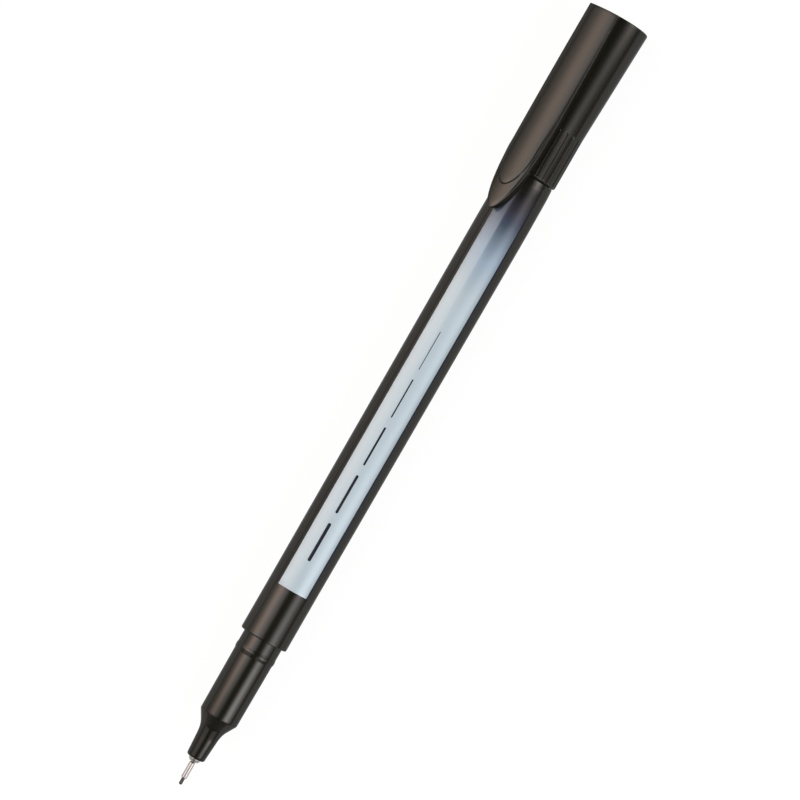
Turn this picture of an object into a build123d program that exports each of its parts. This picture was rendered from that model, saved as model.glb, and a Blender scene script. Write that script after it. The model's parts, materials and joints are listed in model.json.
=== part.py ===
"""Fineliner pen with its cap posted on the tail.

The pen lies along X with its writing tip towards -X and the cap towards +X.
The origin is on the pen's axis, in the front face of the barrel, and +Z is up.
All sizes are in millimetres.
"""

from math import cos, radians, sin
import os

from build123d import *

# Barrel: a moulded tube, straight at the front and swelling a little towards the tail
barrel_length = 93.2
barrel_bore_radius = 3.75
barrel_wall = 0.75
grip_band_length = 10.0
swell = 0.21
draw_in_length = 9.4
draw_in = 0.08
barrel_edge = 0.2

# Printed label panel, a thin film on the upper side of the barrel
label_start = 10.0
label_tail_gap = 0.9
label_thickness = 0.06
label_left_angle = 35.3
label_right_angle = 45.5

# Nose section: the holder of the nib, plugged into the front of the barrel
nose_reach = 24.0
throat_reach = 20.6
flare_reach = 17.4
shoulder_reach = 15.7
nose_tip_radius = 1.70
throat_radius = 1.92
flare_radius = 2.62
shoulder_step = 0.13
collar_step = 0.04
nose_tip_edge = 0.45
shoulder_edge = 0.65
bead_centre = 2.9
bead_length = 1.3
bead_height = 0.09
nose_plug_length = 8.0
chamber_reach = 13.5
chamber_radius = 2.6
vent_width = 0.5
vent_depth = 0.35

# Writing tip: fibre nib in a steel tube, held by a flanged ferrule
nib_radius = 0.31
nib_exposed = 1.3
nib_roundness = 0.8
tube_radius = 0.54
tube_exposed = 3.3
tube_tail = 2.0
flange_radius = 1.12
flange_height = 0.7
ferrule_shank_radius = 0.85
ferrule_shank_length = 3.5
nib_socket_depth = 2.5

# Ink supply: a fibre wick that feeds from a fibre reservoir in a film sleeve
wick_radius = 1.0
wick_in_reservoir = 6.0
reservoir_air_gap = 0.17
sleeve_thickness = 0.12

# Tail plug, with the spigot that carries the posted cap
tail_plug_length = 9.0
spigot_length = 10.2
plug_wall = 0.95
plug_end_wall = 2.0
spigot_edge = 0.4

# Cap: fluted collar at the mouth, then a cone that flares to the closed end
cap_wall = 0.99
cap_flare = 0.75
cap_end_wall = 1.6
cap_dome = 0.25
cap_mouth_edge = 0.4
cap_top_edge = 0.25
flute_count = 20
flute_length = 9.7
flute_width = 0.85
flute_depth = 0.17
snap_groove_depth = 0.08
snap_groove_room = 0.2

# Inner cap: the liner that closes over the nib when the cap is on the front
liner_wall = 0.75
liner_end_wall = 0.6
liner_flange = 1.0
nib_room = 0.3

# Pocket clip: a crowned tongue with a grooved panel, rooted at the closed end
clip_tilt = 33.0
clip_overhang = 8.3
clip_half_width = 3.23
clip_side_bow = 0.1
clip_tip_length = 13.0
clip_stand = 1.18
clip_crown_radius = 10.0
clip_pad_length = 6.0
clip_pad_ramp = 1.6
clip_mouth_gap = 0.25
clip_top_inset = 0.15
rim_width = 0.22
panel_tip_length = 7.2
panel_tip_inset = 5.0
panel_groove_width = 0.22
panel_groove_depth = 0.22
rim_drop = 0.12
clip_edge = 0.15
foot_length = 3.0
foot_width = 3.0
foot_inset = 1.1
pocket_floor_wall = 0.6

# Width of the search for an edge at a known place
edge_search = 0.02

# Clearances
fixed_fit = 0.01
cap_clearance = 0.05
cap_mouth_gap = 0.10
liner_fit = 0.03
liner_end_gap = 0.05
liner_seal_gap = 0.07
clip_fit = 0.08
clip_barrel_gap = 0.10

# Sizes and places that follow from those above
barrel_front_radius = barrel_bore_radius + barrel_wall
barrel_wide_radius = barrel_front_radius + swell
barrel_rear_radius = barrel_wide_radius - draw_in
label_end = barrel_length - label_tail_gap

neck_radius = barrel_bore_radius - fixed_fit
bead_radius = neck_radius + bead_height
nose_rear_radius = neck_radius - collar_step
shoulder_radius = neck_radius - shoulder_step

flange_front = -(nose_reach + flange_height)
tube_front = flange_front - tube_exposed
nib_tip = tube_front - nib_exposed
ferrule_rear = -nose_reach + ferrule_shank_length
tube_rear = ferrule_rear + tube_tail
tube_hole_radius = tube_radius + fixed_fit
nib_hole_radius = nib_radius + fixed_fit
wick_hole_radius = wick_radius + fixed_fit
nib_rear = tube_rear + nib_socket_depth
nib_point_edge = nib_radius * nib_roundness
tube_front_edge = (tube_radius - nib_radius) / 2

reservoir_front = nose_plug_length
reservoir_rear = barrel_length - tail_plug_length
sleeve_radius = barrel_bore_radius - reservoir_air_gap
core_radius = sleeve_radius - sleeve_thickness
wick_rear = reservoir_front + wick_in_reservoir

cap_bore_radius = bead_radius + cap_clearance
spigot_radius = cap_bore_radius - cap_clearance
spigot_end = barrel_length + spigot_length

cap_mouth = barrel_length + cap_mouth_gap
cap_depth = -nib_tip + nib_room + liner_end_wall + liner_end_gap
cap_inner_end = cap_mouth + cap_depth
cap_top = cap_inner_end + cap_end_wall
cap_rim = cap_top - cap_dome
cap_collar_radius = cap_bore_radius + cap_wall
cap_top_radius = cap_collar_radius + cap_flare
cone_start = cap_mouth + flute_length
flute_floor = cap_collar_radius - flute_depth
flute_pitch = 360 / flute_count
flute_angles = [clip_tilt + flute_pitch * step for step in range(flute_count)]

liner_bore_radius = throat_radius + liner_seal_gap
liner_radius = liner_bore_radius + liner_wall
liner_flange_radius = cap_bore_radius - liner_fit
liner_mouth = cap_mouth + throat_reach
liner_end = cap_inner_end - liner_end_gap

clip_tip = cap_mouth - clip_overhang
clip_top = cap_rim - clip_top_inset
clip_tip_base = clip_tip + clip_tip_length
panel_tip = clip_tip + panel_tip_inset
panel_tip_base = panel_tip + panel_tip_length
panel_half_width = clip_half_width - rim_width - panel_groove_width
clip_crown = cap_top_radius + clip_stand
crown_centre = clip_crown - clip_crown_radius
under_mouth_radius = cap_collar_radius + clip_mouth_gap
under_top_radius = cap_top_radius + clip_fit
pad_end = clip_tip + clip_pad_length
pad_radius = barrel_wide_radius + label_thickness + clip_barrel_gap
foot_end = clip_top - foot_inset
foot_start = foot_end - foot_length
foot_bottom = cap_bore_radius + pocket_floor_wall + clip_fit
foot_middle = (foot_start + foot_end) / 2
foot_top = cap_top_radius + clip_stand / 2


def axial_plane(angle):
    """Plane through the pen's axis whose local Y points out at an angle from +Z towards +Y."""
    turn = radians(angle)
    return Plane(origin=(0, 0, 0), x_dir=(1, 0, 0), z_dir=(0, -cos(turn), sin(turn)))


def facing_plane(angle, distance):
    """Plane square to the direction at an angle from +Z towards +Y, a distance from the axis."""
    turn = radians(angle)
    outward = Vector(0, sin(turn), cos(turn))
    return Plane(origin=outward * distance, x_dir=(1, 0, 0), z_dir=outward)


def ring_edges(piece, x):
    """Circular edges of a piece whose centres lie at x along the pen, the smallest first."""
    circles = piece.edges().filter_by(GeomType.CIRCLE)
    return circles.filter_by_position(Axis.X, x - edge_search, x + edge_search).sort_by(SortBy.RADIUS)


def tongue(tip, tip_base, top, half_width, bow):
    """Outline of a tongue: half an ellipse at the tip, then bowed sides to a square top."""
    middle = (tip_base + top) / 2
    EllipticalCenterArc((tip_base, 0), tip_base - tip, half_width, start_angle=90, arc_size=180)
    ThreePointArc((tip_base, half_width), (middle, half_width + bow), (top, half_width))
    Line((top, half_width), (top, -half_width))
    ThreePointArc((top, -half_width), (middle, -half_width - bow), (tip_base, -half_width))


def save(piece, label):
    """Name a finished piece and write it as its own file."""
    piece.part.label = label
    export_step(piece.part, f"parts/{label}.step")


os.makedirs("parts", exist_ok=True)

# Direction the clip faces, and where the axis of its crown crosses the YZ plane
clip_outward = facing_plane(clip_tilt, 0).z_dir
crown_axis = (crown_centre * clip_outward.Y, crown_centre * clip_outward.Z)

# Outer line of the barrel, from front to tail, which the label film also follows
barrel_line = [
    (0, barrel_front_radius),
    (grip_band_length, barrel_front_radius),
    (barrel_length - draw_in_length, barrel_wide_radius),
    (barrel_length, barrel_rear_radius),
]


def barrel_radius(x):
    """Outer radius of the barrel at x along the pen."""
    for (x0, radius0), (x1, radius1) in zip(barrel_line, barrel_line[1:]):
        if x <= x1:
            return radius0 + (radius1 - radius0) * (x - x0) / (x1 - x0)
    return barrel_rear_radius


# Barrel
with BuildPart() as barrel:
    with BuildSketch(Plane.XZ):
        with BuildLine():
            Polyline(
                *barrel_line,
                (barrel_length, barrel_bore_radius),
                (0, barrel_bore_radius),
                close=True,
            )
        make_face()
    revolve(axis=Axis.X)
    chamfer([ring_edges(barrel, 0)[-1], ring_edges(barrel, barrel_length)[-1]], barrel_edge)
save(barrel, "barrel")

# Printed label panel
label_line = [
    (label_start, barrel_radius(label_start)),
    *[(x, radius) for x, radius in barrel_line if label_start < x < label_end],
    (label_end, barrel_radius(label_end)),
]
with BuildPart() as barrel_label:
    with BuildSketch(axial_plane(label_left_angle)):
        with BuildLine():
            Polyline(
                *label_line,
                *[(x, radius + label_thickness) for x, radius in reversed(label_line)],
                close=True,
            )
        make_face()
    revolve(axis=Axis.X, revolution_arc=label_left_angle + label_right_angle)
save(barrel_label, "barrel_label")

# Nose section
with BuildPart() as nose_section:
    with BuildSketch(Plane.XZ):
        with BuildLine():
            Line((-nose_reach, 0), (-nose_reach, nose_tip_radius))
            taper = Line((-nose_reach, nose_tip_radius), (-throat_reach, throat_radius))
            cone = Line((-flare_reach, flare_radius), (-shoulder_reach, shoulder_radius))
            Spline(taper @ 1, cone @ 0, tangents=(taper % 1, cone % 0))
            bead_front = -(bead_centre + bead_length / 2)
            bead_rear = -(bead_centre - bead_length / 2)
            Line(cone @ 1, (bead_front, nose_rear_radius))
            ThreePointArc(
                (bead_front, nose_rear_radius),
                (-bead_centre, bead_radius),
                (bead_rear, neck_radius),
            )
            Polyline(
                (bead_rear, neck_radius),
                (nose_plug_length, neck_radius),
                (nose_plug_length, 0),
                (-nose_reach, 0),
            )
        make_face()
    revolve(axis=Axis.X)
    fillet(ring_edges(nose_section, -nose_reach), nose_tip_edge)
    fillet(ring_edges(nose_section, -shoulder_reach), shoulder_edge)
    with BuildSketch(Plane.XZ):
        with BuildLine():
            Polyline(
                (-nose_reach, 0),
                (-nose_reach, ferrule_shank_radius + fixed_fit),
                (ferrule_rear, ferrule_shank_radius + fixed_fit),
                (ferrule_rear, tube_hole_radius),
                (tube_rear, tube_hole_radius),
                (tube_rear, wick_hole_radius),
                (-chamber_reach, wick_hole_radius),
                (-chamber_reach, chamber_radius),
                (nose_plug_length, chamber_radius),
                (nose_plug_length, 0),
                close=True,
            )
        make_face()
    revolve(axis=Axis.X, mode=Mode.SUBTRACT)
    with BuildSketch(Plane.YZ.offset(tube_rear)):
        Rectangle(vent_width, 2 * (wick_radius + vent_depth))
    extrude(amount=-chamber_reach - tube_rear, mode=Mode.SUBTRACT)
save(nose_section, "nose_section")

# Flanged ferrule: a domed steel shoulder on a shank pressed into the nose
with BuildPart() as nib_ferrule:
    with BuildSketch(Plane.XZ):
        with BuildLine():
            Polyline(
                (-nose_reach, flange_radius),
                (-nose_reach, ferrule_shank_radius),
                (ferrule_rear, ferrule_shank_radius),
                (ferrule_rear, tube_hole_radius),
                (flange_front, tube_hole_radius),
            )
            EllipticalCenterArc(
                (-nose_reach, tube_hole_radius),
                flange_height,
                flange_radius - tube_hole_radius,
                start_angle=90,
                arc_size=90,
            )
        make_face()
    revolve(axis=Axis.X)
save(nib_ferrule, "nib_ferrule")

# Steel tube round the nib
with BuildPart() as nib_tube:
    with BuildSketch(Plane.YZ.offset(tube_front)):
        Circle(tube_radius)
        Circle(nib_hole_radius, mode=Mode.SUBTRACT)
    extrude(amount=tube_rear - tube_front)
    fillet(ring_edges(nib_tube, tube_front)[-1], tube_front_edge)
save(nib_tube, "nib_tube")

# Fibre nib, with a rounded writing point
with BuildPart() as fibre_nib:
    with BuildSketch(Plane.YZ.offset(nib_tip)):
        Circle(nib_radius)
    extrude(amount=nib_rear - nib_tip)
    fillet(ring_edges(fibre_nib, nib_tip), nib_point_edge)
save(fibre_nib, "fibre_nib")

# Feed wick, with a socket for the nib's inner end
with BuildPart() as feed_wick:
    with BuildSketch(Plane.YZ.offset(tube_rear)):
        Circle(wick_radius)
    extrude(amount=wick_rear - tube_rear)
    with BuildSketch(Plane.YZ.offset(tube_rear)):
        Circle(nib_hole_radius)
    extrude(amount=nib_socket_depth, mode=Mode.SUBTRACT)
save(feed_wick, "feed_wick")

# Reservoir core, with a socket for the wick
with BuildPart() as reservoir_core:
    with BuildSketch(Plane.YZ.offset(reservoir_front)):
        Circle(core_radius)
    extrude(amount=reservoir_rear - reservoir_front)
    with BuildSketch(Plane.YZ.offset(reservoir_front)):
        Circle(wick_hole_radius)
    extrude(amount=wick_in_reservoir, mode=Mode.SUBTRACT)
save(reservoir_core, "reservoir_core")

# Film sleeve round the reservoir
with BuildPart() as reservoir_sleeve:
    with BuildSketch(Plane.YZ.offset(reservoir_front)):
        Circle(sleeve_radius)
        Circle(core_radius + fixed_fit, mode=Mode.SUBTRACT)
    extrude(amount=reservoir_rear - reservoir_front)
save(reservoir_sleeve, "reservoir_sleeve")

# Tail plug and spigot
with BuildPart() as tail_plug:
    with BuildSketch(Plane.XZ):
        with BuildLine():
            Polyline(
                (reservoir_rear, neck_radius - plug_wall),
                (reservoir_rear, neck_radius),
                (barrel_length, neck_radius),
                (barrel_length, spigot_radius),
                (spigot_end, spigot_radius),
                (spigot_end, 0),
                (spigot_end - plug_end_wall, 0),
                (spigot_end - plug_end_wall, neck_radius - plug_wall),
                close=True,
            )
        make_face()
    revolve(axis=Axis.X)
    fillet(ring_edges(tail_plug, spigot_end), spigot_edge)
save(tail_plug, "tail_plug")

# Cap shell
groove_half_length = bead_length / 2 + snap_groove_room
groove_front = cap_mouth + bead_centre - groove_half_length
groove_rear = cap_mouth + bead_centre + groove_half_length
with BuildPart() as cap_shell:
    with BuildSketch(Plane.XZ):
        with BuildLine():
            Polyline(
                (cap_rim, cap_top_radius),
                (cone_start, cap_collar_radius),
                (cap_mouth, cap_collar_radius),
                (cap_mouth, cap_bore_radius),
                (groove_front, cap_bore_radius),
                (groove_front, cap_bore_radius + snap_groove_depth),
                (groove_rear, cap_bore_radius + snap_groove_depth),
                (groove_rear, cap_bore_radius),
                (cap_inner_end, cap_bore_radius),
                (cap_inner_end, 0),
                (cap_top, 0),
            )
            dome_radius = (cap_top_radius**2 + cap_dome**2) / (2 * cap_dome)
            RadiusArc((cap_top, 0), (cap_rim, cap_top_radius), -dome_radius)
        make_face()
    revolve(axis=Axis.X)
    fillet(ring_edges(cap_shell, cap_mouth)[-1], cap_mouth_edge)
    fillet(ring_edges(cap_shell, cap_rim)[-1], cap_top_edge)
    with BuildSketch(*[facing_plane(angle, flute_floor) for angle in flute_angles]):
        with Locations((cap_mouth, 0)):
            SlotOverall(2 * flute_length, flute_width)
    extrude(amount=cap_wall, mode=Mode.SUBTRACT)
    with BuildSketch(facing_plane(clip_tilt, foot_bottom - clip_fit)):
        with Locations((foot_middle, 0)):
            Rectangle(foot_length + 2 * clip_fit, foot_width + 2 * clip_fit)
    extrude(amount=clip_crown - foot_bottom, mode=Mode.SUBTRACT)
save(cap_shell, "cap_shell")

# Inner cap
with BuildPart() as inner_cap:
    with BuildSketch(Plane.XZ):
        with BuildLine():
            Polyline(
                (liner_mouth, liner_bore_radius),
                (liner_mouth, liner_flange_radius),
                (liner_mouth + liner_flange, liner_flange_radius),
                (liner_mouth + liner_flange, liner_radius),
                (liner_end - liner_flange, liner_radius),
                (liner_end - liner_flange, liner_flange_radius),
                (liner_end, liner_flange_radius),
                (liner_end, 0),
                (liner_end - liner_end_wall, 0),
                (liner_end - liner_end_wall, liner_bore_radius),
                close=True,
            )
        make_face()
    revolve(axis=Axis.X)
save(inner_cap, "inner_cap")

# Pocket clip: the raised panel on its crown
with BuildPart() as clip_panel:
    with BuildSketch(facing_plane(clip_tilt, 0)):
        with BuildLine():
            tongue(panel_tip, panel_tip_base, clip_top, panel_half_width, clip_side_bow)
        make_face()
    extrude(amount=clip_crown)
    with BuildSketch(Plane.YZ.offset(clip_tip)):
        with Locations(crown_axis):
            Circle(clip_crown_radius)
    extrude(amount=clip_top - clip_tip, mode=Mode.INTERSECT)

# Pocket clip: the cutter for the groove round the panel
with BuildPart() as panel_groove:
    with BuildSketch(facing_plane(clip_tilt, 0)):
        with BuildLine():
            tongue(
                panel_tip - panel_groove_width,
                panel_tip_base,
                clip_top,
                panel_half_width + panel_groove_width,
                clip_side_bow,
            )
        make_face()
        with BuildLine():
            tongue(panel_tip, panel_tip_base, clip_top, panel_half_width, clip_side_bow)
        make_face(mode=Mode.SUBTRACT)
    extrude(amount=clip_crown)
    with BuildSketch(Plane.YZ.offset(clip_tip)):
        with Locations(crown_axis):
            Circle(clip_crown_radius - panel_groove_depth)
    extrude(amount=clip_top - clip_tip, mode=Mode.SUBTRACT)

# Pocket clip
with BuildPart() as pocket_clip:
    with BuildSketch(facing_plane(clip_tilt, 0)):
        with BuildLine():
            tongue(clip_tip, clip_tip_base, clip_top, clip_half_width, clip_side_bow)
        make_face()
    extrude(amount=clip_crown)
    with BuildSketch(Plane.YZ.offset(clip_tip)):
        with Locations(crown_axis):
            Circle(clip_crown_radius - rim_drop)
    extrude(amount=clip_top - clip_tip, mode=Mode.INTERSECT)
    crown_face = pocket_clip.faces().sort_by(Axis((0, 0, 0), clip_outward))[-1]
    fillet(crown_face.edges(), clip_edge)
    add(clip_panel.part)
    add(panel_groove.part, mode=Mode.SUBTRACT)
    with BuildSketch(Plane.XZ):
        with BuildLine():
            Polyline(
                (clip_tip, 0),
                (clip_tip, pad_radius),
                (pad_end, pad_radius),
                (pad_end + clip_pad_ramp, under_mouth_radius),
                (cone_start, under_mouth_radius),
                (cap_rim, under_top_radius),
                (cap_rim, 0),
                close=True,
            )
        make_face()
    revolve(axis=Axis.X, mode=Mode.SUBTRACT)
    with BuildSketch(facing_plane(clip_tilt, foot_bottom)):
        with Locations((foot_middle, 0)):
            Rectangle(foot_length, foot_width)
    extrude(amount=foot_top - foot_bottom)
save(pocket_clip, "pocket_clip")
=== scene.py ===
# %% [markdown]
# A fineliner pen lies on a white table with its cap posted on the tail, and the camera looks straight down
# on it. The packed model gives every piece its place: the pen runs along X, the writing tip points to -X
# and the label faces up. Nothing in this lesson moves a piece. Each one that shows is modelled again where
# it stands, with the fine roundings that catch the light, and then gets its finish.

# %% Load the packed pen
import json
from math import acos, atan2, cos, pi, radians, sin, sqrt, tan

import bmesh
import bpy
import numpy as np
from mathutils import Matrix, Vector

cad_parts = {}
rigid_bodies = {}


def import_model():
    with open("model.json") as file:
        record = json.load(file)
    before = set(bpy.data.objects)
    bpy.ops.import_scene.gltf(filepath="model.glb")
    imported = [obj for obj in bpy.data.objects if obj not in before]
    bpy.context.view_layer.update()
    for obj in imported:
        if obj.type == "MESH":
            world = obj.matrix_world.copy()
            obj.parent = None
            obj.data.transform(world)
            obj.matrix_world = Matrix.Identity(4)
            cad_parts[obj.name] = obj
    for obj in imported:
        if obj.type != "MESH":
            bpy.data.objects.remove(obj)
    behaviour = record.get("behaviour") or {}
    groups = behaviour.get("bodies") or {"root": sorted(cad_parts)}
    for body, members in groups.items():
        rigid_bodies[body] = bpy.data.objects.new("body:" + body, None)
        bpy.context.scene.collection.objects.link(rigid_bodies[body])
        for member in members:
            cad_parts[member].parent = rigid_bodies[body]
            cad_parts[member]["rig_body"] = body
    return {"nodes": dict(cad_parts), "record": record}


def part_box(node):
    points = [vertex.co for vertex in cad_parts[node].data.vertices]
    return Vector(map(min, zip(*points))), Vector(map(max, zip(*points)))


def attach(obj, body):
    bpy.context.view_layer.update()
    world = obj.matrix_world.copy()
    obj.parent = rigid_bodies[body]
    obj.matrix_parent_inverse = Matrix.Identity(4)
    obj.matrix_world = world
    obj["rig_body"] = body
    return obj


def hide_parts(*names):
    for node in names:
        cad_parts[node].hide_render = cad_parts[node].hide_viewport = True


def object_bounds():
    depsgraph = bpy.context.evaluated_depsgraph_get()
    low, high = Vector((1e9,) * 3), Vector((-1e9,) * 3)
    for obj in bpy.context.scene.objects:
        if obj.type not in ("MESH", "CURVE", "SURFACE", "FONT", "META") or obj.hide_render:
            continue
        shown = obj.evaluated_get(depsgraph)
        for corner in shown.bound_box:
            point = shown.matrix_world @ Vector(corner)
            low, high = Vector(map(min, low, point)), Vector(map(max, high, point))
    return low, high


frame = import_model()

cad_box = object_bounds()
print("bare model from", tuple(cad_box[0]), "to", tuple(cad_box[1]))

# %% [markdown]
# Pens are small, so the lesson counts in millimetres and turns to metres only when a mesh is made. The
# places come from the packed pieces: where each starts and ends along the pen, and how far it reaches from
# the axis. Reading them keeps the dressed pen in step with the model if a size ever changes.

# %% Places of the pieces along the pen
MM = 0.001


def span(node):
    """Front end, rear end and greatest reach from the pen's axis of a round node, in millimetres."""
    low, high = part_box(node)
    return round(low.x / MM, 2), round(high.x / MM, 2), round(high.z / MM, 2)


barrel_front, barrel_rear, barrel_reach = span("barrel")
label_front, label_rear, label_reach = span("barrel_label")
nose_front, nose_rear, bead_reach = span("nose_section")
flange_front, ferrule_rear, flange_reach = span("nib_ferrule")
tube_front, tube_rear, tube_reach = span("nib_tube")
nib_front, nib_rear, nib_reach = span("fibre_nib")
plug_front, spigot_rear, spigot_reach = span("tail_plug")
cap_mouth, cap_top, _ = span("cap_shell")
liner_front, liner_rear, liner_reach = span("inner_cap")
clip_tip, clip_top, _ = span("pocket_clip")
grip_reach = frame["record"]["mounts"][0]["dims"]["r_mm"]
print("barrel", barrel_front, barrel_rear, "cap", cap_mouth, cap_top, "clip", clip_tip, clip_top)

# %% [markdown]
# The camera comes first, because everything else is judged through it. The picture is a plain product view
# from straight above. A long lens at two thirds of a metre gives it the slight perspective that bends the
# edges of the barrel and the cap. The pen leans across the square frame: its cap points to the upper right,
# 60 degrees above the horizontal.

# %% Camera
view_width = 140.0
view_centre = (48.2, 0.20)
view_distance = 650.0
pen_lean = 60.045
nearest_seen = 0.01

camera = bpy.data.objects.new("camera", bpy.data.cameras.new("camera"))
bpy.context.scene.collection.objects.link(camera)
camera.data.lens = camera.data.sensor_width * view_distance / view_width
camera.location = Vector((*view_centre, view_distance)) * MM
camera.rotation_euler = (0, 0, radians(-pen_lean))
camera.data.clip_start = nearest_seen
bpy.context.scene.camera = camera
print("lens", round(camera.data.lens, 1), "mm")

# %% [markdown]
# Finishes are node networks, and their maths reads best as plain arithmetic. A Wire stands for one output
# socket, and adding or multiplying wires adds Math nodes behind the scenes. Every other node comes from one
# method that takes the node's type, its settings and what goes into its sockets. Colours never pass through
# Math nodes, which would turn them grey: they are mixed by Mix nodes.

# %% Wires
def rgba(red, green, blue):
    """A colour socket's value."""
    return (red, green, blue, 1.0)


def grey(level):
    """A colour socket's value without any colour."""
    return rgba(level, level, level)


class Wire:
    """One output socket of a shader node. Arithmetic on wires adds Math nodes."""

    def __init__(self, finish, socket):
        self.finish = finish
        self.socket = socket

    def math(self, operation, *terms):
        """One Math node."""
        return self.finish.node("ShaderNodeMath", {"operation": operation}, dict(enumerate(terms)))

    def __add__(self, other):
        return self.math("ADD", self, other)

    def __sub__(self, other):
        return self.math("SUBTRACT", self, other)

    def __rsub__(self, other):
        return self.math("SUBTRACT", other, self)

    def __mul__(self, other):
        return self.math("MULTIPLY", self, other)

    def __truediv__(self, other):
        return self.math("DIVIDE", self, other)

    def __rtruediv__(self, other):
        return self.math("DIVIDE", other, self)

    def __abs__(self):
        return self.math("ABSOLUTE", self)

    __radd__ = __add__
    __rmul__ = __mul__


print("wires take numbers on either side")

# %% Finishes
class Finish:
    """A shader under construction, on a material, a lamp or the world."""

    def __init__(self, owner):
        owner.use_nodes = True
        self.owner = owner
        self.tree = owner.node_tree
        self.tree.nodes.clear()

    def node(self, kind, settings=None, sockets=None, output=0):
        """Add a node, make its settings, fill its sockets and give back one output as a wire."""
        made = self.tree.nodes.new(kind)
        for name, value in (settings or {}).items():
            if name == "stops":
                ramp = made.color_ramp
                ramp.elements.remove(ramp.elements[1])
                for place, colour in value[1:]:
                    ramp.elements.new(place).color = rgba(*colour)
                ramp.elements[0].position = value[0][0]
                ramp.elements[0].color = rgba(*value[0][1])
            else:
                setattr(made, name, value)
        for name, value in (sockets or {}).items():
            if isinstance(value, Wire):
                self.tree.links.new(value.socket, made.inputs[name])
            else:
                made.inputs[name].default_value = value
        return Wire(self, made.outputs[output]) if made.outputs else None

    def smooth(self, value, start, end):
        """0 before start, 1 after end and an easy curve between."""
        sockets = {"Value": value, "From Min": start, "From Max": end}
        return self.node("ShaderNodeMapRange", {"interpolation_type": "SMOOTHSTEP"}, sockets)

    def mix(self, factor, first, second):
        """One colour over another."""
        colours = {"Factor": factor, 6: first, 7: second}
        return self.node("ShaderNodeMix", {"data_type": "RGBA"}, colours, 2)

    def noise(self, grain, stretch=(1, 1, 1), detail=2.0):
        """Cloudy values about 0.5 with a grain in millimetres, drawn out along the axes by stretch."""
        place = self.node("ShaderNodeTexCoord", output="Object")
        drawn = self.node(
            "ShaderNodeVectorMath",
            {"operation": "DIVIDE"},
            {0: place, 1: [grain * MM * length for length in stretch]},
        )
        return self.node("ShaderNodeTexNoise", {}, {"Vector": drawn, "Scale": 1.0, "Detail": detail})

    def parts(self, vector):
        """The X, Y and Z of a vector."""
        outputs = self.node("ShaderNodeSeparateXYZ", {}, {0: vector}).socket.node.outputs
        return [Wire(self, outputs[name]) for name in "XYZ"]

    def axes(self):
        """Place along the pen in millimetres, and angle from +Z towards +Y in degrees."""
        along, y, z = self.parts(self.node("ShaderNodeTexCoord", output="Object"))
        return along * (1 / MM), y.math("ARCTAN2", y, z) * (180 / pi)

    def bump(self, height, depth):
        """Normal of a surface whose height varies by a depth in millimetres."""
        return self.node("ShaderNodeBump", {}, {"Height": height, "Distance": depth * MM})

    def coat(self, **sockets):
        """Finish the material with the standard surface shader; spaces in socket names are underscores."""
        named = {name.replace("_", " "): value for name, value in sockets.items()}
        surface = self.node("ShaderNodeBsdfPrincipled", {}, named)
        self.node("ShaderNodeOutputMaterial", {}, {"Surface": surface})
        return self.owner


def new_finish(name):
    """A finish on a new material."""
    return Finish(bpy.data.materials.new(name))


print("a finish has", [name for name in vars(Finish) if not name.startswith("_")])

# %% [markdown]
# Black plastic shows its surroundings more than its own colour, so the light is built like a small studio.
# A warm softbox leans over the +Y side and a plain one over the -Y side. Each lays one long soft stripe on
# the pen. Straight above there is nothing bright, which keeps the middle of the barrel dark. A real softbox
# is brightest in its middle, and glossy plastic mirrors that, so each face is graded: its colour goes by
# the angle from straight up, and its strength by the place along the pen. The Geometry node's Parametric
# output gives both on an area lamp.

# %% Graded softbox
box_distance = 500.0
drift_span = (-28.0, 100.0)


def softbox(name, across, along, drift=0.0):
    """An area lamp over the pen with a graded face.

    Across lists (degrees from straight up towards +Y, brightness, colour), and along lists (place along the
    pen, share). With a drift the bright middle moves outwards, by that many millimetres for each one along
    its span.
    """
    angles = [radians(row[0]) for row in across]
    lean = (angles[0] + angles[-1]) / 2
    half_width = box_distance * tan(abs(angles[-1] - angles[0]) / 2)
    front, rear = along[0][0], along[-1][0]
    peak = max(row[1] for row in across)
    most = max(row[1] for row in along)
    lamp = bpy.data.lights.new(name, "AREA")
    lamp.shape = "RECTANGLE"
    lamp.size = (rear - front) * MM
    lamp.size_y = 2 * half_width * MM
    lamp.energy = peak * most * pi * lamp.size * lamp.size_y
    face = Finish(lamp)
    rows = sorted(
        ((1 + box_distance * tan(angle - lean) / half_width) / 2, tuple(row[2] * (row[1] / peak)))
        for angle, row in zip(angles, across)
    )
    shares = [((place - front) / (rear - front), (share / most,) * 3) for place, share in along]
    lengthwise, crosswise, _ = face.parts(face.node("ShaderNodeNewGeometry", output="Parametric"))
    place = lengthwise * (rear - front) + front
    place = place.math("MINIMUM", place, drift_span[1]) - drift_span[0]
    shifted = crosswise - place * (drift / (2 * half_width))
    tint = face.node("ShaderNodeValToRGB", {"stops": rows}, {0: shifted})
    strength = face.node("ShaderNodeValToRGB", {"stops": shares}, {0: lengthwise})
    glow = face.node("ShaderNodeEmission", {}, {"Color": tint, "Strength": strength})
    face.node("ShaderNodeOutputLight", {}, {"Surface": glow})
    holder = bpy.data.objects.new(name, lamp)
    holder.location = Vector(((front + rear) / 2, box_distance * sin(lean), box_distance * cos(lean))) * MM
    holder.rotation_euler = (-lean, 0, 0)
    bpy.context.scene.collection.objects.link(holder)
    print(name, round(lamp.energy, 2), "W")


print("softboxes stand", box_distance, "mm off")

# %% [markdown]
# Six boxes are enough. The warm one and the plain one run the length of the pen. A narrow one within the
# warm one strengthens its stripe towards the cap. A small one behind the cap lights the barrel's tail where
# it draws in, and past the nib two dim ones light the faces that lean forward.

# %% Softboxes over the pen
nib_end = -136.0
plain = np.array((1.0, 0.95, 0.93))
warm = np.array((1.0, 0.80, 0.68))
between = (plain + warm) / 2


def tinted(colour, *rows):
    """Rows of one colour for a softbox's face."""
    return [(angle, brightness, colour) for angle, brightness in rows]


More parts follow.
